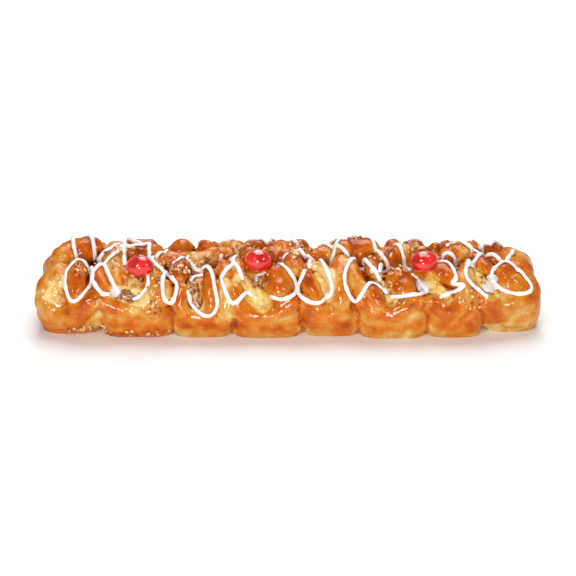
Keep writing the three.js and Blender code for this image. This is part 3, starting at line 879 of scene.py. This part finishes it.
def nut_material(nuts):
    shade = Shade("chopped_nut")
    skin = shade.add(shade.attribute("shade"), shade.stretch(shade.noise(1.2, 2), 0.35, 0.65, -0.4, 0.4))
    shade.dress(
        Base_Color=shade.ramp(skin, [(0.15, nuts.kernel), (0.5, nuts.toasted), (0.9, nuts.skin)]),
        Roughness=0.5, Normal=shade.bump(shade.noise(0.5, 2), 0.1),
        Subsurface_Weight=0.1, Subsurface_Scale=0.001, Coat_Weight=0.25, Coat_Roughness=0.2)
    return shade.material


def cherry_material(cherries):
    shade = Shade("glazed_cherry")
    dark = [value * 0.55 for value in cherries.red]
    shade.dress(
        Base_Color=shade.mix(shade.stretch(shade.noise(9, 1), 0.35, 0.65), cherries.red, dark),
        Roughness=0.16, Normal=shade.bump(shade.noise(5, 1), 0.5),
        Subsurface_Weight=0.15, Subsurface_Scale=0.004, Coat_Weight=1.0, Coat_Roughness=0.03)
    return shade.material


# Pieces

SHAPES = {}


def dough_shape():
    """The dough is worked out once and shared by the pieces that lie on it."""
    if "dough" not in SHAPES:
        settings = bpy.context.scene.loaf_dough
        SHAPES["dough"] = Dough(settings.cell, settings.crease)
    return SHAPES["dough"]


def slit_rows():
    """The slits of the front and the back: places, half width and how yellow the filling is."""
    return on_both_sides([(*lobe.slit, lobe.yellow) for lobe in LOBES])


class LOAF_OT_bread(bpy.types.Operator):
    """Makes the plaited dough with its creases and slits."""

    bl_idname = "loaf.bread"
    bl_label = "Plaited dough"

    def execute(self, context):
        settings = context.scene.loaf_dough
        dough = dough_shape()
        block = dough.block
        values = np.maximum(dough.whole, -block.all_points()[..., 2])
        points, faces = surface_net(block, values)
        points = settle(block, values, points)
        slope = block.slope(dough.whole, points)
        normals = unit(slope)
        apart = block.sample(dough.apart, points)
        run_in = block.sample(dough.run_in, points)
        lumps = (noise_at(points, COARSE_LUMP, 1) * COARSE_LUMP_SHARE
                 + noise_at(points, FINE_LUMP, 2) * FINE_LUMP_SHARE)
        strays = settings.unevenness * (lumps - LUMP_TOP) * (points[:, 2] > FLAT_BELOW)
        points = points + normals * strays[:, None]
        slit = block.sample(dough.slit, points) + SLIT_RAGGED * noise_at(points, 3, 6)
        height = points[:, 2]
        tone = block.sample(dough.tone, points)
        other = block.sample(dough.other_tone, points)
        edge = block.sample(dough.second, points) - block.sample(dough.first, points)
        share = 0.5 * (1 - smooth_step(0, TONES_MEET + TONES_MEET_LOW * run_in, edge))
        bake_and_shade = tone * (1 - share) + other * share
        bake_and_shade += OPEN_TONE * smooth_step(*OPEN_SPAN, apart) + CREASE_TONE
        foot = height + FOOT_WAVE * noise_at(points, 18, 9)
        bake_and_shade += HIGH_TONE * smooth_step(*HIGH_SPAN, height) + FOOT_TONE * (1 - smooth_step(*FOOT_SPAN, foot))
        bake_and_shade += UPWARD_TONE * (normals[:, 2] - UPWARD_MIDDLE) * smooth_step(*UPWARD_SPAN, height)
        bake_and_shade += WIDE_PATCH_TONE * noise_at(points, WIDE_PATCH, 3)
        bake_and_shade += SMALL_PATCH_TONE * noise_at(points, SMALL_PATCH, 7)
        at_left = smooth_step(*LEFT_FOOT_PLACE, points[:, 0])
        bake_and_shade += LEFT_FOOT_TONE * smooth_step(*LEFT_FOOT_HEIGHT, height) * at_left
        # Painted shade: darker colour along the creases, where the dough's slope drops, outside the slits
        crease_shade_mask = 1 - np.linalg.norm(slope, axis=1)
        bake_and_shade += CREASE_SHADE_TONE * smooth_step(*CREASE_SHADE_SPAN, crease_shade_mask) * (slit > 1)
        bake_and_shade += TORN_TONE * smooth_step(*TORN_SPAN, slit)
        piece = new_piece("crust", points, faces, {"bake_and_shade": bake_and_shade})
        finish_piece(piece, crust_material(settings), "crust", "bread")
        return {"FINISHED"}


class LOAF_OT_filling(bpy.types.Operator):
    """Makes the filling that runs through the loaf and shows in its slits."""

    bl_idname = "loaf.filling"
    bl_label = "Filling"

    def execute(self, context):
        settings = context.scene.loaf_filling
        dough = dough_shape()
        block, values = dough.block, dough.filling
        net, faces = surface_net(block, values)
        net = settle(block, values, net)
        rough = FRUIT_ROUGH * noise_at(net, 6, 4, 3) - FRUIT_SUNK
        net = net + unit(block.slope(values, net)) * rough[:, None]
        apple = block.sample(dough.yellow, net) + FRUIT_MIX * noise_at(net, 8, 5)
        piece = new_piece("apple_filling", net, faces, {"apple": apple})
        finish_piece(piece, filling_material(settings), "filling", "filling")
        return {"FINISHED"}


def smooth_line(places, step):
    """Evenly spaced places along a smooth line through some places on the section."""
    knots = np.array(places, float)
    padded = np.concatenate([[2 * knots[0] - knots[1]], knots, [2 * knots[-1] - knots[-2]]])
    line = []
    for i in range(1, len(padded) - 2):
        p0, p1, p2, p3 = padded[i - 1:i + 3]
        for t in np.linspace(0, 1, SPLINE_STEPS, endpoint=False):
            line.append(0.5 * (2 * p1 + (p2 - p0) * t + (2 * p0 - 5 * p1 + 4 * p2 - p3) * t ** 2
                               + (3 * p1 - p0 - 3 * p2 + p3) * t ** 3))
    line = np.array(line + [knots[-1]])
    solid = on_section(line[:, 0], line[:, 1])
    travelled = np.concatenate([[0], np.cumsum(np.linalg.norm(np.diff(solid, axis=0), axis=1))])
    even = np.linspace(0, travelled[-1], max(3, int(travelled[-1] / step) + 1))
    return np.stack([np.interp(even, travelled, line[:, i]) for i in (0, 1)], axis=1)


def back_strokes():
    """The back has the front's strokes, turned round, where they don't cross the ridge."""
    strokes = [[(-x, 180 - a) for x, a in stroke if a < BACK_STROKES_BELOW] for stroke in STROKES]
    return [stroke for stroke in strokes if len(stroke) > 2]


def icing_distance(offset, height, half_width, thickness):
    """How far points are outside icing, from their offsets to its middle and their heights over the crust."""
    flat = np.sqrt(np.maximum(np.einsum("...i,...i", offset, offset) - height ** 2, 0))
    return (np.sqrt((flat / half_width) ** 2 + (height / thickness) ** 2) - 1) * thickness


class LOAF_OT_icing(bpy.types.Operator):
    """Makes the icing: loops drizzled over the crust and thin patches where they ran together."""

    bl_idname = "loaf.icing"
    bl_label = "Icing"

    def execute(self, context):
        settings = context.scene.loaf_icing
        dough = dough_shape()
        block = Block(*ICING_BLOCK, settings.cell)
        over = dough.block.sample(dough.top, block.all_points().reshape(-1, 3)).reshape(block.shape)
        over = over.astype(np.float32)
        values = block.full(ICING_FAR)
        thin = block.full(0)
        for number, stroke in enumerate(STROKES + SHORT_STROKES + back_strokes()):
            line = smooth_line(stroke, ICING_STEP)
            spots = dough.crust(line[:, 0], line[:, 1])
            wavers = 1 + ICING_WAVER * noise_at(spots, 7, 20 + number)
            for start in range(0, len(spots) - 1, ICING_PART):
                part = spots[start:start + ICING_PART + 1]
                slices, points = block.window(part, settings.width + ICING_REACH)
                offset, along = line_offsets(points, part)
                waver = np.interp(along, range(len(part)), wavers[start:start + ICING_PART + 1])
                around = icing_distance(offset, over[slices], settings.width / 2 * waver, settings.thickness)
                old = values[slices]
                values[slices] = soft_union(np.minimum(old, around), np.maximum(old, around), ICING_CREASE)
        for x, degrees, radius in POOLS:
            spot = dough.crust([x], [degrees])
            slices, points = block.window(spot, radius + POOL_REACH)
            around = icing_distance(points - spot[0], over[slices], radius, POOL_THICKNESS)
            thin[slices] = np.maximum(thin[slices], around < values[slices])
            values[slices] = np.minimum(values[slices], around)
        values = np.maximum(values, -(over + ICING_SUNK))
        net, faces = surface_net(block, values)
        # The strokes stay inside the solid's box
        net = np.clip(settle(block, values, net), *(np.array(corner) / MM for corner in CAD_BOX))
        piece = new_piece("icing", net, faces, {"thin": block.sample(thin, net)})
        finish_piece(piece, icing_material(settings), "icing")
        return {"FINISHED"}


def draws(seed):
    """Draws from 0 to 1 that are the same each time."""
    state = seed
    while True:
        state = state * DRAW_FACTOR % DRAW_RANGE
        yield state / DRAW_RANGE


def nut_seats(settings):
    """Where the nuts lie: the place, the way out and the size of each."""
    draw = draws(settings.seed)
    extra = draws(settings.seed + 4)
    span = settings.largest - settings.smallest
    places, sizes = [], []
    for x, degrees, half_length, half_angle, large, small in NUT_PATCHES:
        for _ in range(large):
            along, around, bigness, *_ = (next(draw) for _ in range(NUT_DRAWS))
            places.append((x + (along * 2 - 1) * half_length, degrees + (around * 2 - 1) * half_angle))
            sizes.append(NUT_SMALLEST + NUT_SPREAD * bigness)
        for _ in range(small):
            along, around, bigness = (next(extra) for _ in range(3))
            places.append((x + (along * 2 - 1) * half_length * NUT_STRAY,
                           degrees + (around * 2 - 1) * half_angle * NUT_STRAY))
            sizes.append(settings.smallest + span * bigness ** NUT_SIZE_POWER)
    places = np.array(places)
    dough = dough_shape()
    spots = dough.crust(places[:, 0], places[:, 1])
    return spots, unit(dough.block.slope(dough.top, spots)), np.array(sizes)


def nut_tree(material, seed, roughness):
    """A tree that lays an irregular bit of nut on each point by its size and way out, and its inputs."""
    tree = bpy.data.node_groups.new("scatter_nuts", "GeometryNodeTree")

    def add_input(label, kind, value=None):
        socket = tree.interface.new_socket(label, in_out="INPUT", socket_type=kind)
        if value is not None:
            socket.default_value = value
        return socket.identifier, value

    def make(kind, feeds, **settings):
        """A node with its settings, and its inputs linked or set by name or number."""
        node = tree.nodes.new(kind)
        for key, value in settings.items():
            setattr(node, key, value)
        for key, value in feeds.items():
            if isinstance(value, bpy.types.NodeSocket):
                tree.links.new(value, node.inputs[key])
            else:
                node.inputs[key].default_value = value
        return node.outputs

    add_input("Seats", "NodeSocketGeometry")
    inputs = [add_input("Seed", "NodeSocketInt", seed), add_input("Roughness", "NodeSocketFloat", roughness)]
    tree.interface.new_socket("Nuts", in_out="OUTPUT", socket_type="NodeSocketGeometry")
    start = make("NodeGroupInput", {})
    bit = make("GeometryNodeMeshIcoSphere", {"Radius": MM, "Subdivisions": 2})
    way_out = make("GeometryNodeInputNamedAttribute", {"Name": "way_out"}, data_type="FLOAT_VECTOR")
    size = make("GeometryNodeInputNamedAttribute", {"Name": "size"}, data_type="FLOAT")
    align = make("FunctionNodeAlignRotationToVector", {"Vector": way_out[0]}, axis="Z")
    spin = make("FunctionNodeRandomValue", {
        0: (-NUT_TILT, -NUT_TILT, 0), 1: (NUT_TILT, NUT_TILT, NUT_TURN), "Seed": start["Seed"]},
                data_type="FLOAT_VECTOR")
    turn = make("FunctionNodeRotateRotation", {0: align[0], 1: spin[0]}, rotation_space="LOCAL")
    proportions = make("FunctionNodeRandomValue", {0: NUT_LEAST, 1: NUT_MOST, "Seed": start["Seed"]},
                       data_type="FLOAT_VECTOR")
    scale = make("ShaderNodeVectorMath", {0: proportions[0], "Scale": size[0]}, operation="SCALE")
    lay = make("GeometryNodeInstanceOnPoints", {
        "Points": start["Seats"], "Instance": bit["Mesh"], "Rotation": turn[0], "Scale": scale[0]})
    tint = make("FunctionNodeRandomValue", {"Seed": start["Seed"]}, data_type="FLOAT")
    keep = make("GeometryNodeStoreNamedAttribute", {"Name": "shade", "Geometry": lay[0], "Value": tint[1]},
                data_type="FLOAT", domain="INSTANCE")
    real = make("GeometryNodeRealizeInstances", {0: keep[0]})
    grain = make("ShaderNodeTexNoise", {"Scale": 1 / (NUT_GRAIN * MM), "Detail": 1.0})
    middle = make("ShaderNodeVectorMath", {0: grain["Color"], 1: (0.5, 0.5, 0.5)}, operation="SUBTRACT")
    amount = make("ShaderNodeMath", {0: start["Roughness"], 1: NUT_PUSH * MM}, operation="MULTIPLY")
    push = make("ShaderNodeVectorMath", {0: middle[0], "Scale": amount[0]}, operation="SCALE")
    move = make("GeometryNodeSetPosition", {"Geometry": real[0], "Offset": push[0]})
    whole = make("GeometryNodeRealizeInstances", {0: move[0]})
    dress = make("GeometryNodeSetMaterial", {"Material": material, "Geometry": whole[0]})
    make("NodeGroupOutput", {0: dress[0]})
    return tree, inputs


class LOAF_OT_nuts(bpy.types.Operator):
    """Scatters chopped nuts over the crust in the places where they fell."""

    bl_idname = "loaf.nuts"
    bl_label = "Chopped nuts"

    def execute(self, context):
        settings = context.scene.loaf_nuts
        spots, normals, sizes = nut_seats(settings)
        spots = spots + normals * (sizes * NUT_RAISED - NUT_SUNK)[:, None]
        # The bits stay inside the solid's box and on the floor
        keep_in = CAD_BOX[1][1] / MM - NUT_REACH * sizes - NUT_GAP
        spots[:, 1] = np.clip(spots[:, 1], -keep_in, keep_in)
        spots[:, 2] = np.maximum(spots[:, 2], NUT_REACH * sizes)
        seats = bpy.data.meshes.new("nut_seats")
        seats.from_pydata((spots * MM).tolist(), [], [])
        layer = seats.attributes.new("way_out", "FLOAT_VECTOR", "POINT")
        layer.data.foreach_set("vector", normals.astype(np.float32).ravel())
        layer = seats.attributes.new("size", "FLOAT", "POINT")
        layer.data.foreach_set("value", sizes.astype(np.float32))
        holder = bpy.data.objects.new("nut_seats", seats)
        context.collection.objects.link(holder)
        material = nut_material(settings)
        modifier = holder.modifiers.new("scatter", "NODES")
        modifier.node_group, inputs = nut_tree(material, settings.seed, settings.roughness)
        for identifier, value in inputs:
            modifier[identifier] = value
        graph = context.evaluated_depsgraph_get()
        mesh = bpy.data.meshes.new_from_object(holder.evaluated_get(graph))
        bpy.data.objects.remove(holder)
        if not mesh.polygons:
            raise RuntimeError("the nuts have no faces")
        piece = bpy.data.objects.new("chopped_nuts", mesh)
        context.collection.objects.link(piece)
        finish_piece(piece, material, "nut")
        return {"FINISHED"}


class LOAF_OT_cherries(bpy.types.Operator):
    """Makes the three glazed cherry halves."""

    bl_idname = "loaf.cherries"
    bl_label = "Cherries"

    def execute(self, context):
        settings = context.scene.loaf_cherries
        material = cherry_material(settings)
        for number, (node, (x, degrees)) in enumerate(CHERRIES.items()):
            middle, radii = on_section(x, degrees, -CHERRY_RISE), np.array(CHERRY_SIZE)
            ball = bmesh.new()
            bmesh.ops.create_icosphere(ball, subdivisions=5, radius=1)
            ways = np.array([vertex.co[:] for vertex in ball.verts])
            faces = np.array([[vertex.index for vertex in face.verts] for face in ball.faces])
            ball.free()
            wrinkles = np.abs(noise_at(ways, 0.9, 30 + number, 1))
            swell = noise_at(ways, 1.3, 40 + number, 1)
            depth = settings.wrinkle / radii.mean()
            size = 1 - depth * (1 - smooth_step(0, 0.5, wrinkles)) - CHERRY_UNEVEN + CHERRY_UNEVEN * swell
            piece = new_piece(node + "_half", middle + ways * radii * size[:, None], faces)
            finish_piece(piece, material, "cherry", node)
        return {"FINISHED"}


class LOAF_OT_studio(bpy.types.Operator):
    """Sets up the pale floor, the soft lights and the camera."""

    bl_idname = "loaf.studio"
    bl_label = "Studio"

    def execute(self, context):
        settings = context.scene.loaf_studio
        self.floor(context, settings)
        for name, place, size, share, target in LIGHTS:
            self.light(context, name, place, size, settings.key * share, target)
        world = bpy.data.worlds.new("studio")
        world.use_nodes = True
        background = world.node_tree.nodes["Background"]
        background.inputs["Color"].default_value = (1, 1, 1, 1)
        background.inputs["Strength"].default_value = WORLD_STRENGTH
        context.scene.world = world
        context.scene.view_settings.view_transform = "Standard"
        self.camera(context, settings)
        return {"FINISHED"}

    def floor(self, context, settings):
        mesh = bpy.data.meshes.new("floor")
        corners = [(x * FLOOR_HALF, y * FLOOR_HALF, 0) for x, y in ((-1, -1), (1, -1), (1, 1), (-1, 1))]
        mesh.from_pydata(corners, [], [(0, 1, 2, 3)])
        floor = bpy.data.objects.new("floor", mesh)
        shade = Shade("pale_floor")
        shade.dress(Base_Color=(*settings.floor, 1), Roughness=0.6)
        mesh.materials.append(shade.material)
        context.collection.objects.link(floor)

    def light(self, context, name, place, size, power, target):
        lamp = bpy.data.lights.new(name, "AREA")
        lamp.shape = "DISK"
        lamp.size = size
        lamp.energy = power
        holder = bpy.data.objects.new(name, lamp)
        holder.location = place
        holder.rotation_euler = (Vector(target) - Vector(place)).to_track_quat("-Z", "Y").to_euler()
        context.collection.objects.link(holder)

    def camera(self, context, settings):
        lens = bpy.data.cameras.new("camera")
        lens.lens = settings.lens
        lens.sensor_width = SENSOR_WIDTH
        holder = bpy.data.objects.new("camera", lens)
        back = Vector((0, -math.cos(settings.elevation), math.sin(settings.elevation)))
        holder.location = Vector(CAMERA_TARGET) + back * settings.distance
        holder.rotation_euler = back.to_track_quat("Z", "Y").to_euler()
        context.collection.objects.link(holder)
        context.scene.camera = holder


OPERATORS = [LOAF_OT_studio, LOAF_OT_bread, LOAF_OT_filling, LOAF_OT_icing, LOAF_OT_nuts, LOAF_OT_cherries]
GROUPS = {
    "loaf_dough": LoafDough,
    "loaf_filling": LoafFilling,
    "loaf_icing": LoafIcing,
    "loaf_nuts": LoafNuts,
    "loaf_cherries": LoafCherries,
    "loaf_studio": LoafStudio,
}


class LOAF_PT_panel(bpy.types.Panel):
    """Lists the loaf's pieces and their settings."""

    bl_idname = "LOAF_PT_panel"
    bl_label = "Braided loaf"
    bl_space_type = "VIEW_3D"
    bl_region_type = "UI"
    bl_category = "Loaf"

    def draw(self, context):
        for operator in OPERATORS:
            self.layout.operator(operator.bl_idname)
        for name, group in GROUPS.items():
            box = self.layout.box()
            box.label(text=name.replace("loaf_", "").capitalize())
            for key in group.__annotations__:
                box.prop(getattr(context.scene, name), key)


def register():
    for group in GROUPS.values():
        bpy.utils.register_class(group)
    for name, group in GROUPS.items():
        setattr(bpy.types.Scene, name, PointerProperty(type=group))
    for operator in OPERATORS:
        bpy.utils.register_class(operator)
    bpy.utils.register_class(LOAF_PT_panel)


def unregister():
    bpy.utils.unregister_class(LOAF_PT_panel)
    for operator in OPERATORS:
        bpy.utils.unregister_class(operator)
    for name, group in GROUPS.items():
        delattr(bpy.types.Scene, name)
        bpy.utils.unregister_class(group)


def main():
    register()
    bpy.ops.loaf.studio()
    bpy.ops.loaf.bread()
    bpy.ops.loaf.filling()
    bpy.ops.loaf.icing()
    bpy.ops.loaf.nuts()
    bpy.ops.loaf.cherries()


if __name__ == "__main__":
    main()
